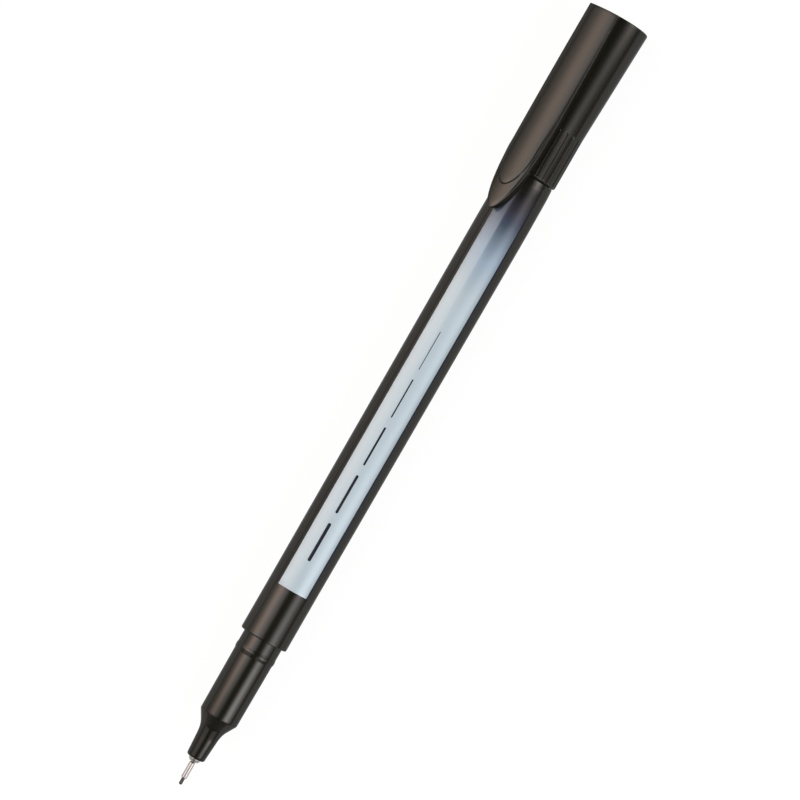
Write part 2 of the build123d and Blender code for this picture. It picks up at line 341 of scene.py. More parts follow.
softbox(
    "warm_softbox",
    tinted(plain, (0, 0.15), (4, 0.3), (13, 2.0), (22, 2.9))
    + tinted(between, (31, 4.3))
    + tinted(warm, (40.5, 6.0), (50, 5.3), (60, 3.1), (71, 1.4), (80, 0.6), (86, 0.4)),
    [(nib_end, 0.33), (-72.0, 0.33), (-60.0, 1.0), (98.0, 1.0), (113.0, 0.65), (124.0, 0.66),
     (136.0, 0.75), (250.0, 0.66)],
    drift=0.56,
)
softbox(
    "inner_softbox",
    tinted(plain, (8.5, 0.0), (12, 1.6), (17, 3.0), (23, 3.0), (30, 1.7), (38, 0.9), (46, 0.0)),
    [(10.0, 0.0), (45.0, 0.3), (75.0, 0.5), (98.0, 1.0), (112.0, 1.3), (122.0, 0.3), (126.0, 0.0)],
)
softbox(
    "plain_softbox",
    tinted(plain, (-16, 0.04), (-23, 0.25), (-32, 1.7), (-41.5, 3.45))
    + tinted(plain, (-51, 3.45), (-61, 1.9), (-72, 0.8), (-78, 0.5)),
    [(nib_end, 2.0), (-64.0, 2.0), (-46.0, 1.31), (-28.0, 1.0), (44.0, 0.85), (98.0, 0.67), (110.0, 0.65),
     (121.0, 0.40), (134.0, 0.17), (150.0, 0.13), (162.0, 0.0)],
)
softbox(
    "tail_softbox",
    tinted(plain, (-24, 0.3), (-35, 2.0))
    + tinted(between, (-47, 6.3), (-56, 5.3))
    + tinted(plain, (-66, 2.4), (-76, 0.6)),
    [(150.0, 0.0), (164.0, 1.0), (330.0, 1.0)],
)
for side, name in ((1, "forward_glow_left"), (-1, "forward_glow_right")):
    softbox(name, tinted(plain, (side * 18, 1.0), (side * 66, 1.0)), [(-520.0, 1.0), (nib_end, 1.0)])

# %% [markdown]
# The table is a white sweep that is simply white to the camera and in mirrors, and still takes the pen's
# shadow. Part of its brightness is its own glow, which no shadow can darken, and the rest is light that
# falls on it. Only the second part dims under the pen, so the shadow stays as faint as in a bright product
# picture. The glow is a pool round the pen that sinks to pale grey further out, where only the flanks of
# the barrel mirror it.

# %% White table
table_drop = cad_box[0].z
table_size = 6.0
pool_glow = 0.945
far_glow = 0.45
pool_edge = (110.0, 300.0)
seen_albedo = 0.08
bounce_albedo = 0.80

bpy.ops.mesh.primitive_plane_add(size=table_size, location=(view_centre[0] * MM, 0, table_drop))
table = bpy.context.object
table.name = "white_table"

sweep = new_finish("white_sweep")
rays = sweep.node("ShaderNodeLightPath").socket.node.outputs
seen = sum(Wire(sweep, rays[kind]) for kind in ("Is Camera Ray", "Is Glossy Ray", "Is Transmission Ray"))
spot = sweep.node("ShaderNodeTexCoord", output="Object")
reach = sweep.node("ShaderNodeVectorMath", {"operation": "LENGTH"}, {0: spot}, "Value")
far = sweep.smooth(reach, pool_edge[0] * MM, pool_edge[1] * MM)
glow = sweep.node("ShaderNodeEmission", {}, {"Strength": pool_glow - far * (pool_glow - far_glow)})
lit = sweep.node("ShaderNodeBsdfDiffuse", {}, {"Color": grey(seen_albedo)})
bright = sweep.node("ShaderNodeAddShader", {}, {0: glow, 1: lit})
bounce = sweep.node("ShaderNodeBsdfDiffuse", {}, {"Color": grey(bounce_albedo)})
blend = sweep.node("ShaderNodeMixShader", {}, {0: seen, 1: bounce, 2: bright})
sweep.node("ShaderNodeOutputMaterial", {}, {"Surface": blend})
table.data.materials.append(sweep.owner)
print("table at", round(table_drop / MM, 2), "mm")

# %% [markdown]
# The room is pale near the horizon and dark overhead. The pale band is what the flanks of the pen mirror,
# and the dark ceiling is what its upper side mirrors between the two softboxes. The height of a direction
# is its Z, so one smooth step of Z makes the whole room. The +Y side is a little brighter.

# %% Room
horizon_glow = 0.36
horizon_shift = 0.12
ceiling_glow = 0.03
horizon_band = (0.10, 0.55)

room = Finish(bpy.context.scene.world or bpy.data.worlds.new("room"))
bpy.context.scene.world = room.owner
_, sideways, height = room.parts(room.node("ShaderNodeTexCoord", output="Generated"))
share = 1 - room.smooth(height, *horizon_band)
backdrop = room.node(
    "ShaderNodeBackground",
    {},
    {
        "Color": grey(1),
        "Strength": share * (sideways * horizon_shift + (horizon_glow - ceiling_glow)) + ceiling_glow,
    },
)
room.node("ShaderNodeOutputWorld", {}, {"Surface": backdrop})
bpy.context.scene.view_settings.view_transform = "Standard"
print("room from", ceiling_glow, "overhead to", horizon_glow, "at the horizon")

# %% [markdown]
# Almost every piece of a pen is turned about one axis, so the main tool is a lathe. An outline is a closed
# row of corners, each with its own rounding, and the lathe carries the outline round the axis. A real
# moulding has no sharp edge anywhere, and those small roundings are what draws the thin bright lines that
# make plastic look real.

# %% Outlines with rounded corners
arc_steps = 6
longest_run = 1.5
edge_run = 0.12
long_run = 5 * edge_run


def rounded(corners):
    """Closed outline through corners of (along, out, rounding), with a tangent arc at each rounded corner."""
    outline = []
    for k, (along, out, rounding) in enumerate(corners):
        here = np.array((along, out))
        if not rounding:
            outline.append(here)
            continue
        back = np.array(corners[k - 1][:2]) - here
        ahead = np.array(corners[(k + 1) % len(corners)][:2]) - here
        back /= np.linalg.norm(back)
        ahead /= np.linalg.norm(ahead)
        half = acos(np.clip(back @ ahead, -1, 1)) / 2
        middle = (back + ahead) / np.linalg.norm(back + ahead)
        centre = here + middle * rounding / sin(half)
        first = here + back * rounding / tan(half) - centre
        last = here + ahead * rounding / tan(half) - centre
        start = atan2(first[1], first[0])
        sweep_angle = (atan2(last[1], last[0]) - start + pi) % (2 * pi) - pi
        for share in np.linspace(0, 1, arc_steps + 1):
            angle = start + share * sweep_angle
            outline.append(centre + rounding * np.array((cos(angle), sin(angle))))
    return outline


def divided(outline):
    """The same closed outline with its long runs cut into short ones, and a very short one at each end."""
    fine = []
    for here, ahead in zip(outline, outline[1:] + outline[:1]):
        length = np.linalg.norm(ahead - here)
        shares = np.arange(0, 1, 1 / max(1, round(length / longest_run)))
        if length > long_run:
            shares = np.concatenate(([0, edge_run / length], shares[1:], [1 - edge_run / length]))
        fine += [here + (ahead - here) * share for share in shares]
    return fine


print("roundings in", arc_steps, "steps")

# %% [markdown]
# A skin joins rings of points with quads, which is all that a lathe, a film and a fluted cap need. A ring
# of one point is a pole. Shading follows the larger faces, so long walls stay even right up to their
# rounded edges.

# %% Rings into a mesh
on_axis = 1e-6
weld = 1e-4
sharp_angle = 40


def finish_mesh(piece_name, points, faces):
    """A smooth-shaded object from points in millimetres, welded and with its faces turned outwards."""
    mesh = bpy.data.meshes.new(piece_name)
    mesh.from_pydata([tuple(point) for point in points], [], faces)
    work = bmesh.new()
    work.from_mesh(mesh)
    bmesh.ops.remove_doubles(work, verts=work.verts, dist=weld)
    bmesh.ops.dissolve_degenerate(work, edges=work.edges, dist=weld)
    bmesh.ops.holes_fill(work, edges=work.edges, sides=0)
    bmesh.ops.recalc_face_normals(work, faces=work.faces)
    bmesh.ops.scale(work, vec=(MM, MM, MM), verts=work.verts)
    work.to_mesh(mesh)
    work.free()
    piece = bpy.data.objects.new(piece_name, mesh)
    bpy.context.scene.collection.objects.link(piece)
    return piece


def even_shading(piece):
    """Smooth shading, led by the larger faces, with true corners kept sharp."""
    piece.data.shade_smooth()
    piece.data.set_sharp_from_angle(angle=radians(sharp_angle))
    weighted = piece.modifiers.new("even_shading", "WEIGHTED_NORMAL")
    weighted.keep_sharp = True
    return piece


def skin(piece_name, rings, joined=True):
    """Mesh through rings of points; joined ties the last ring to the first."""
    starts = np.cumsum([0] + [len(row) for row in rings])
    points = np.vstack(rings)
    faces = []
    pairs = list(zip(range(len(rings)), range(1, len(rings))))
    if joined:
        pairs.append((len(rings) - 1, 0))
    for a, b in pairs:
        sides = max(len(rings[a]), len(rings[b]))
        for k in range(sides):
            nxt = (k + 1) % sides
            corners = [
                starts[a] + k % len(rings[a]),
                starts[a] + nxt % len(rings[a]),
                starts[b] + nxt % len(rings[b]),
                starts[b] + k % len(rings[b]),
            ]
            face = list(dict.fromkeys(corners))
            if len(face) > 2:
                faces.append(face)
    return finish_mesh(piece_name, points, faces)


def ring(along, out, turns):
    """Points round the axis at a distance out, or one point where the ring shrinks onto the axis."""
    out = np.broadcast_to(out, turns.shape)
    if out.max() < on_axis:
        return np.array([(along, 0.0, 0.0)])
    return np.column_stack((np.full(len(turns), along), out * np.sin(turns), out * np.cos(turns)))


print("corners over", sharp_angle, "degrees stay sharp")

# %% Lathe
lathe_sides = 160
all_round = np.linspace(0, 2 * pi, lathe_sides, endpoint=False)


def lathe(piece_name, corners):
    """A turned piece from the corners of its closed outline."""
    outline = divided(rounded(corners))
    piece = skin(piece_name, [ring(along, out, all_round) for along, out in outline])
    print(piece_name, len(piece.data.polygons), "faces")
    return even_shading(piece)


print("lathe of", lathe_sides, "sides")

# %% [markdown]
# Each dressed piece stands for its packed node: it hides that node, rides on the same body so that it moves
# with it, and names the same material slot. One function does all three, so no piece can be forgotten.


def dress(piece, node, material):
    """Give a piece its finish and put it in the place of a packed node."""
    piece.data.materials.clear()
    piece.data.materials.append(material)
    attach(piece, frame["nodes"][node]["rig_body"])
    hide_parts(node)


# %% [markdown]
# The body of the pen is black moulded plastic, polished in the mould but never a perfect mirror. Its colour
# is a very dark olive grey. The gloss wanders a little from place to place, the surface has the faint waves
# of cooled plastic, and a fine grain softens the edges of the reflections. All of it is noise at three
# sizes. Plastic mirrors more strongly towards the flanks of a round piece, and there the pale room would
# show too brightly in it. A low index of refraction with a strong tint keeps the mirror nearly as dim there
# as in the middle.

# %% Black moulded plastic
wave_size = 2.4
cloud_size = 6.0
grain_size = 0.16
deep_black = rgba(0.0088, 0.0088, 0.0058)
pale_black = rgba(0.0122, 0.0122, 0.0082)
mirror_index = 1.06
mirror_tint = 35.4


def black_plastic(name, gloss, grain_depth):
    """Black plastic with a base roughness, cooling waves and a fine grain of a depth in millimetres."""
    finish = new_finish(name)
    waves = finish.noise(wave_size, (4, 1, 1))
    cloud = finish.noise(cloud_size, (3, 1, 1))
    grain = finish.noise(grain_size)
    colour = finish.mix(cloud, deep_black, pale_black)
    roughness = gloss + cloud * 0.04 + grain * 0.02
    normal = finish.bump(waves * 0.6 + grain * 0.4, grain_depth)
    return finish.coat(
        Base_Color=colour,
        Roughness=roughness,
        Normal=normal,
        IOR=mirror_index,
        Specular_Tint=grey(mirror_tint),
    )


black_body = black_plastic("black_moulded_plastic", 0.12, 0.0022)
print("finish", black_body.name)

# %% [markdown]
# The barrel is a long tube, straight at the grip and swelling by a fifth of a millimetre towards the tail.
# Its front face is flat with a tiny rounding, where the nose section goes in. Where the swelling ends the
# outline turns by a hair, and a very wide rounding hides that turn. The last millimetres draw in a little
# towards the cap.

# %% Barrel
bore = 3.75
grip_end = 10.0
widest_at = barrel_rear - 9.4
swell_rounding = 300.0
tail_reach = barrel_reach - 0.08
barrel_edge = 0.2
bore_edge = 0.05
tail_edge = 0.14
tail_ease = 3.0
tail_taper = 0.02
tail_draw = 0.10
tail_steps = 9
ease_at = barrel_rear - tail_ease
eased_tail = [
    (ease_at + tail_ease * share, tail_reach + tail_taper * (1 - share) - tail_draw * share**2)
    for share in np.linspace(0, 1, tail_steps)
]
barrel_line = [(barrel_front, grip_reach), (grip_end, grip_reach), (widest_at, barrel_reach), *eased_tail]
barrel = lathe(
    "barrel_tube",
    [
        (barrel_front, grip_reach, barrel_edge),
        (grip_end, grip_reach, 0),
        (widest_at, barrel_reach, swell_rounding),
        *[(along, out, 0) for along, out in eased_tail[:-1]],
        (*eased_tail[-1], tail_edge),
        (barrel_rear, bore, bore_edge),
        (barrel_front, bore, bore_edge),
    ],
)
dress(barrel, "barrel", black_body)

# %% [markdown]
# The nose section holds the nib. From the barrel forward it has a neck, a low snap bead that the cap clicks
# over, a long slightly tapered body, a rounded shoulder with a short cone, a hollow flare and a slender
# throat. The flare is one easy curve that leaves the throat and meets the cone without a corner, so a cubic
# with the slopes of its two neighbours makes it. The bead is an arc.

# %% Nose section
throat_at = -20.6
throat_reach = 1.92
nose_tip_reach = 1.70
flare_at = -17.4
flare_reach = 2.62
shoulder_at = -15.7
shoulder_reach = 3.61
collar_reach = 3.70
fit = 0.01
neck_reach = bore - fit
bead_at = -2.9
bead_half = 0.65
chamber_reach = 2.6
chamber_at = -13.5
wick_hole = 1.01
tube_hole = tube_reach + fit
shank_hole = 0.86
nose_curve_steps = 14


def flare(steps):
    """Points of the hollow curve from the throat to the cone."""
    slope_in = (throat_reach - nose_tip_reach) / (throat_at - nose_front)
    slope_out = (shoulder_reach - flare_reach) / (shoulder_at - flare_at)
    run = flare_at - throat_at
    for t in np.linspace(0, 1, steps + 1)[1:-1]:
        out = (
            (2 * t**3 - 3 * t**2 + 1) * throat_reach
            + (t**3 - 2 * t**2 + t) * run * slope_in
            + (3 * t**2 - 2 * t**3) * flare_reach
            + (t**3 - t**2) * run * slope_out
        )
        yield throat_at + run * t, out, 0


def bead(steps):
    """Points of the snap bead: a low arc from the collar over the crest to the neck."""
    for t in np.linspace(-1, 1, steps + 1)[1:-1]:
        foot = collar_reach + (neck_reach - collar_reach) * (t + 1) / 2
        yield bead_at + bead_half * t, foot + (bead_reach - (collar_reach + neck_reach) / 2) * (1 - t * t), 0


nose = lathe(
    "nose_cone",
    [
        (nose_front, shank_hole, 0.05),
        (nose_front, nose_tip_reach, 0.45),
        (throat_at, throat_reach, 0),
        *flare(nose_curve_steps),
        (flare_at, flare_reach, 0),
        (shoulder_at, shoulder_reach, 0.65),
        (bead_at - bead_half, collar_reach, 0),
        *bead(nose_curve_steps),
        (bead_at + bead_half, neck_reach, 0),
        (nose_rear, neck_reach, 0.2),
        (nose_rear, chamber_reach, 0.1),
        (chamber_at, chamber_reach, 0.1),
        (chamber_at, wick_hole, 0.05),
        (tube_rear, wick_hole, 0.05),
        (tube_rear, tube_hole, 0.05),
        (ferrule_rear, tube_hole, 0.05),
        (ferrule_rear, shank_hole, 0.05),
    ],
)
dress(nose, "nose_section", black_body)

# %% [markdown]
# The writing tip is steel and fibre. The tube is drawn stainless steel, bright with fine lines along its
# length. A small domed flange seats it on the nose, and the tube is pinched in where it meets the flange.
# The nib is a bundle of bonded fibres, stained dark by the ink and worn to a round point.

# %% Drawn steel and nib fibre
def drawn_steel(name):
    """Bright stainless steel with fine drawing lines along the pen."""
    finish = new_finish(name)
    lines = finish.noise(0.05, (60, 1, 1))
    cloud = finish.noise(0.8)
    colour = finish.mix(cloud, rgba(0.36, 0.355, 0.35), rgba(0.44, 0.435, 0.43))
    roughness = 0.26 + lines * 0.12
    normal = finish.bump(lines, 0.0006)
    return finish.coat(Base_Color=colour, Metallic=1.0, Roughness=roughness, Normal=normal)


def inked_fibre(name, dry, wet, strand):
    """Bundled fibre: strands along the pen, lighter where dry and darker where ink has soaked in."""
    finish = new_finish(name)
    strands = finish.noise(strand, (14, 1, 1), 3.0)
    blot = finish.noise(strand * 8)
    colour = finish.mix(finish.smooth(strands * 0.7 + blot * 0.3, 0.35, 0.65), rgba(*wet), rgba(*dry))
    normal = finish.bump(strands, strand / 3)
    return finish.coat(Base_Color=colour, Roughness=0.75 - strands * 0.2, Normal=normal)


steel = drawn_steel("drawn_steel")
nib_fibre = inked_fibre("inked_nib_fibre", (0.075, 0.075, 0.080), (0.020, 0.020, 0.024), 0.05)
print("finishes", steel.name, nib_fibre.name)

# %% Ferrule, tube and nib
dome_rise = nose_front - flange_front
dome_steps = 10
dome = [
    (nose_front - dome_rise * sin(turn), tube_hole + (flange_reach - tube_hole) * cos(turn), 0)
    for turn in np.linspace(0, pi / 2, dome_steps)
]
ferrule = lathe(
    "steel_ferrule",
    [
        *dome,
        (ferrule_rear, tube_hole, 0.03),
        (ferrule_rear, shank_hole - fit, 0.1),
        (nose_front, shank_hole - fit, 0),
    ],
)
nib_hole = nib_reach + fit
crimp_front = flange_front - 0.28
crimp_floor = (flange_front - 0.04, flange_front + 0.12)
crimp_rear = flange_front + 0.30
crimp_reach = tube_reach - 0.16
tube = lathe(
    "steel_tube",
    [
        (tube_front, nib_hole, 0.04),
        (tube_front, tube_reach, 0.15),
        (crimp_front, tube_reach, 0.05),
        (crimp_floor[0], crimp_reach, 0.02),
        (crimp_floor[1], crimp_reach, 0.02),
        (crimp_rear, tube_reach, 0.02),
        (tube_rear, tube_reach, 0.05),
        (tube_rear, nib_hole, 0.05),
    ],
)
nib = lathe(
    "nib_point",
    [
        (nib_front, 0, 0),
        (nib_front, nib_reach, 0.24),
        (nib_rear, nib_reach, 0.05),
        (nib_rear, 0, 0),
    ],
)
dress(ferrule, "nib_ferrule", steel)
dress(tube, "nib_tube", steel)
dress(nib, "fibre_nib", nib_fibre)

# %% [markdown]
# The label is a glossy printed film along the upper side of the barrel. The print is a pale blue white that
# sinks through slate blue into black before it reaches the cap, with a navy line along its -Y edge. A row
# of plain strokes, each finer than the last, is its only mark. The film follows the barrel's own line and
# ends in rounded edges, so it is built from rings that run along the pen: each ring is the film's thin
# cross-section.

# %% Label film
film_left = 35.3
film_right = -45.5
film_thickness = 0.06
film_arc_steps = 72
film_edge_steps = 4
film_rings = 110


def barrel_out(along):
    """Outer radius of the barrel at a place along the pen."""
    return np.interp(along, *zip(*barrel_line))


def film_section(along, fullness):
    """Cross-section of the film, as one closed ring; fullness thins it towards its ends."""
    half = film_thickness / 2
    middle = barrel_out(along) + half
    left = radians(film_left) - half / middle
    right = radians(film_right) + half / middle
    across = np.linspace(left, right, film_arc_steps)
    tips = np.linspace(0, pi, film_edge_steps + 2)[1:-1]
    turns = np.concatenate(
        (across, right - np.sin(tips) * half / middle, across[::-1], left + np.sin(tips) * half / middle)
    )
    rises = np.concatenate(
        (np.ones(len(across)), np.cos(tips), -np.ones(len(across)), -np.cos(tips))
    )
    return ring(along, middle + rises * half * fullness, turns)


film_ease = np.linspace(0, pi / 2, film_edge_steps + 1)
film_places = np.concatenate(
    (
        label_front + (1 - np.cos(film_ease)) * film_thickness / 2,
        np.linspace(label_front, label_rear, film_rings)[1:-1],
        label_rear - (1 - np.cos(film_ease[::-1])) * film_thickness / 2,
    )
)
film_fullness = np.concatenate((np.sin(film_ease), np.ones(film_rings - 2), np.sin(film_ease[::-1])))
label = skin(
    "label_film",
    [film_section(along, fullness) for along, fullness in zip(film_places, film_fullness)],
    joined=False,
)
even_shading(label)
print("label film", len(label.data.polygons), "faces")

# %% [markdown]
# The strokes are drawn by distance: a stroke is every point closer to a short line than half its width. The
# row repeats along the pen, so one stroke is drawn and the place along the pen is counted off in steps.

# %% Label strokes
stroke_start = 15.0
stroke_pitch = 9.6
stroke_count = 5
stroke_length = 7.6
boldest = 0.62
stroke_thinning = 0.12
print_edge = 0.03


def strokes(finish, along, across):
    """1 inside the printed strokes and 0 elsewhere."""
    order = (along - stroke_start).math("FLOOR", (along - stroke_start) / stroke_pitch)
    local = along - stroke_start - (order + 0.5) * stroke_pitch
    width = boldest - order * stroke_thinning
    beyond = local.math("MAXIMUM", abs(local) - (stroke_length - width) / 2, 0.0)
    off = beyond.math("SQRT", beyond * beyond + across * across)
    inside = 1 - finish.smooth(off - width / 2, -print_edge, print_edge)
    first = order.math("GREATER_THAN", order, -0.5)
    last = order.math("LESS_THAN", order, stroke_count - 0.5)
    return inside * first * last


print(stroke_count, "strokes,", boldest, "mm and finer")

# %% [markdown]
# The fade runs a little later on both flanks than along the top. Over the -Y side the print is made paler
# as painted light, weakening between 15 and 45 mm along the pen, and it turns darker towards its -Y edge.
# All of these go by the angle round the pen. A ramp along the pen gives the colour, and its place is shifted
# by the lag.

# %% Label print
fade_start = 65.0
fade_length = 26.5
fade_stops = [
    (0.0, (0.452, 0.574, 0.655)),
    (0.16, (0.43, 0.544, 0.622)),
    (0.42, (0.296, 0.405, 0.524)),
    (0.70, (0.055, 0.079, 0.119)),
    (0.75, (0.044, 0.053, 0.089)),
    (0.82, (0.030, 0.032, 0.045)),
    (0.93, (0.011, 0.011, 0.010)),
    (1.0, (0.0105, 0.0105, 0.008)),
]
left_lag, left_lag_angles = 2.2, (4.5, 9.0)
right_lag, right_lag_angles = 0.7, (4.0, 24.0)
painted_light_gain, painted_light_angles = 0.16, (3.0, 24.0)
painted_light_fading, painted_light_fading_places = 0.1, (15.0, 45.0)
right_shade, right_shade_angles = 0.23, (27.0, 40.0)
stroke_ink = rgba(0.016, 0.017, 0.024)
navy_edge = (4.9, 6.9)
navy_run = 16.0
navy_blue = rgba(0.010, 0.013, 0.020)
navy_black = rgba(0.0105, 0.0105, 0.010)


def print_and_painted_light(name):
    """Pale glossy print that fades to black along the pen, with its strokes, its navy edge and painted light
    over its -Y side.
    """
    finish = new_finish(name)
    along, angle = finish.axes()
    right = 0 - angle
    cloud = finish.noise(5.0, (3, 1, 1))
    lag = finish.smooth(angle, *left_lag_angles) * left_lag
    lag = lag + finish.smooth(right, *right_lag_angles) * right_lag
    place = (along - lag - fade_start) / fade_length
    fade = finish.node("ShaderNodeValToRGB", {"stops": fade_stops}, {0: place})
    # Painted light: the print is made paler over the -Y side, and less so further along the pen.
    gain = painted_light_gain - finish.smooth(along, *painted_light_fading_places) * painted_light_fading
    level = 1 + finish.smooth(right, *painted_light_angles) * gain
    # The print turns darker towards its -Y edge.
    level = level - finish.smooth(right, *right_shade_angles) * right_shade
    print_under_painted_light = finish.node("ShaderNodeVectorMath", {"operation": "SCALE"}, {0: fade, "Scale": level})
    inked = finish.mix(strokes(finish, along, angle * (radians(1) * label_reach)), print_under_painted_light, stroke_ink)
    edge = 1 - finish.smooth(angle, film_right + navy_edge[0], film_right + navy_edge[1])
    navy = finish.mix(finish.smooth(along, fade_start, fade_start + navy_run), navy_blue, navy_black)
    edged = finish.mix(edge, inked, navy)
    roughness = 0.17 + cloud * 0.05
    normal = finish.bump(finish.noise(1.6, (3, 1, 1)), 0.0016)
    return finish.coat(Base_Color=edged, Roughness=roughness, Normal=normal, IOR=1.40)


dress(label, "barrel_label", print_and_painted_light("print_and_painted_light"))

# %% [markdown]
# The tail plug closes the barrel, and its spigot carries the posted cap. It shows only when the cap is
# drawn off. It is the same black plastic straight from the mould, less polished than the barrel.

# %% Tail plug
plug_black = black_plastic("black_satin_plastic", 0.34, 0.004)
plug_wall = 0.95
plug_end_wall = 2.0
plug_hole = neck_reach - plug_wall
tail_plug = lathe(
    "tail_spigot",
    [
        (plug_front, plug_hole, 0.1),
        (plug_front, neck_reach, 0.2),
        (barrel_rear, neck_reach, 0),
        (barrel_rear, spigot_reach, 0.03),
        (spigot_rear, spigot_reach, 0.4),
        (spigot_rear, 0, 0),
        (spigot_rear - plug_end_wall, 0, 0),
        (spigot_rear - plug_end_wall, plug_hole, 0.2),
    ],
)
dress(tail_plug, "tail_plug", plug_black)

# %% [markdown]
# The inner cap is a soft natural plastic cup inside the cap. It closes over the throat of the nose so that
# the nib doesn't dry out. Such plastic is milky, so a little light passes into it.

# %% Inner cap
def milky_plastic(name):
    """Natural soft plastic: pale, waxy and a little uneven."""
    finish = new_finish(name)
    cloud = finish.noise(2.0)
    colour = finish.mix(cloud, rgba(0.70, 0.70, 0.66), rgba(0.80, 0.80, 0.77))
    normal = finish.bump(finish.noise(0.4), 0.003)
    return finish.coat(
        Base_Color=colour,
        Roughness=0.38 + cloud * 0.1,
        Normal=normal,
        Subsurface_Weight=0.15,
        Subsurface_Radius=(0.002, 0.002, 0.0018),
        Subsurface_Scale=0.5,
    )


liner_gap = 0.07
liner_hole = throat_reach + liner_gap
liner_waist = 2.75
liner_band = 1.0
liner_end_wall = 0.6
liner = lathe(
    "cap_liner_cup",
    [
        (liner_front, liner_hole, 0.15),
        (liner_front, liner_reach, 0.15),
        (liner_front + liner_band, liner_reach, 0.15),
        (liner_front + liner_band, liner_waist, 0.1),
        (liner_rear - liner_band, liner_waist, 0.1),
        (liner_rear - liner_band, liner_reach, 0.15),
        (liner_rear, liner_reach, 0.15),
        (liner_rear, 0, 0),
        (liner_rear - liner_end_wall, 0, 0),
        (liner_rear - liner_end_wall, liner_hole, 0.2),
    ],
)
dress(liner, "inner_cap", milky_plastic("milky_plastic"))

# %% [markdown]
# The cap has a collar with twenty shallow flutes for the fingers. A flute is a slot with a round end and a
# flat floor. Cutting the slots out of a turned body would leave raw edges, so the flutes are pressed in:
# each point of the collar is drawn in to the floor by how far it lies inside its slot, with a soft wall and
# a fine chamfer along its edge. The rings get extra points where the walls and chamfers stand.

# %% Flutes round the collar
clip_lean = 33.0
flute_count = 20
flute_length = 9.7
flute_half = 0.37
flute_floor = 4.76
flute_wall = 0.03
flute_chamfer = 0.12
chamfer_drop = 0.045
collar = 4.87
wall_points = 4
face_points = 6
cone_start = cap_mouth + flute_length
flute_round_at = cone_start - flute_half
flute_pitch = 2 * pi / flute_count


def flute_turns():
    """Angles round the cap, close together where a flute's walls stand."""
    edge = flute_half + flute_chamfer
    wall = np.linspace(flute_half - flute_wall, flute_half, wall_points)
    side = np.concatenate((wall[:-1], np.linspace(flute_half, edge, face_points)))
    floor = np.linspace(-wall[0], wall[0], face_points)[1:-1]
    land = np.linspace(edge, flute_pitch * collar - edge, face_points)[1:-1]
    arc = np.concatenate((-side[::-1], floor, side, land)) / collar
    around = [radians(clip_lean) + flute_pitch * k + arc for k in range(flute_count)]
    return np.concatenate(around), np.tile(arc, flute_count)


cap_turns, flute_arcs = flute_turns()
flute_offset = (flute_arcs + flute_pitch / 2) % flute_pitch - flute_pitch / 2


def eased(value, start, end):
    """0 before start, 1 after end and an easy curve between."""
    share = np.clip((value - start) / (end - start), 0, 1)
    return share * share * (3 - 2 * share)


def fluted(along, out):
    """Radii round the cap at a place along it, with the flutes and their chamfered edges pressed in."""
    beyond = max(along - flute_round_at, 0.0)
    depth_in = flute_half - np.hypot(flute_offset * collar, beyond)
    lip = out - chamfer_drop * eased(depth_in, -flute_chamfer, 0)
    floor = flute_floor / np.cos(flute_offset)
    return lip - eased(depth_in, 0, flute_wall) * np.clip(lip - floor, 0, None)


print(flute_count, "flutes,", len(cap_turns), "points round the cap")

# %% [markdown]
# Above the collar the cap flares in a straight cone to a nearly flat top. It is hollow, with a groove in
# its bore that snaps over the bead of the nose. Its outline is turned like the other round pieces, but each
# ring of the collar's outside takes its radii from the flutes. Where the flutes' round ends lie, the rings
# are close together.

# %% Cap
cap_bore = 3.88
cap_rim = cap_top - 0.25
cap_end = cap_top - 1.6
rim_reach = 5.62
snap_groove = (cap_mouth + 2.05, cap_mouth + 3.75, 3.96)
arch_step = 0.02
arch_lead = 0.1
top_dome_steps = 6
top_dome_start = 0.9
bore_margin = 0.2
flute_margin = 1.0


def cap_out(along):
    """Outer radius of the collar and the cone, without the flutes."""
    return np.interp(along, (cone_start, cap_rim), (collar, rim_reach))


dome_radius = (rim_reach**2 + (cap_top - cap_rim) ** 2) / (2 * (cap_top - cap_rim))
arch_places = np.arange(flute_round_at - arch_lead, cone_start + 2 * flute_chamfer, arch_step)
cap_outline = rounded(
    [
        (cap_mouth, cap_bore, 0.1),
        (cap_mouth, collar, 0.5),
        *[(place, cap_out(place), 0) for place in arch_places],
        (cap_rim, rim_reach, 0.25),
        *[
            (cap_top - dome_radius + sqrt(dome_radius**2 - (rim_reach * share) ** 2), rim_reach * share, 0)
            for share in np.linspace(top_dome_start, 0, top_dome_steps)
        ],
        (cap_end, 0, 0),
        (cap_end, cap_bore, 0.2),
        (snap_groove[1], cap_bore, 0),
        (snap_groove[1], snap_groove[2], 0.03),
        (snap_groove[0], snap_groove[2], 0.03),
        (snap_groove[0], cap_bore, 0),
    ]
)
cap_rings = []
for along, out in divided(cap_outline):
    outside = out > cap_bore + bore_margin and along < cone_start + flute_margin
    cap_rings.append(ring(along, fluted(along, out) if outside else out, cap_turns))
cap = skin("cap_body", cap_rings)
print("cap", len(cap.data.polygons), "faces")

# %% [markdown]
# The clip sits on the cap with a foot in a pocket of its wall. The pocket is a small box, so a Boolean cuts
# it, and the clip's tongue covers its rim. The same helper later joins the foot to the tongue.

# %% Boxes cut out and joined on
clip_out = np.array((0.0, sin(radians(clip_lean)), cos(radians(clip_lean))))
clip_side = np.array((0.0, cos(radians(clip_lean)), -sin(radians(clip_lean))))


def clip_place(along, side, out):
    """Points of the clip, given along the pen, sideways and outwards from the axis."""
    along, side, out = np.broadcast_arrays(along, side, out)
    return along[..., None] * np.array((1.0, 0, 0)) + side[..., None] * clip_side + out[..., None] * clip_out


def block(name, front, rear, half_width, low, high):
    """A plain box in the clip's own directions, used as a tool."""
    corners = [(x, w, h) for x in (front, rear) for w in (-half_width, half_width) for h in (low, high)]
    points = [clip_place(*(np.array(value) for value in corner)) for corner in corners]
    faces = [(0, 1, 3, 2), (4, 6, 7, 5), (0, 4, 5, 1), (2, 3, 7, 6), (0, 2, 6, 4), (1, 5, 7, 3)]
    return finish_mesh(name, points, faces)


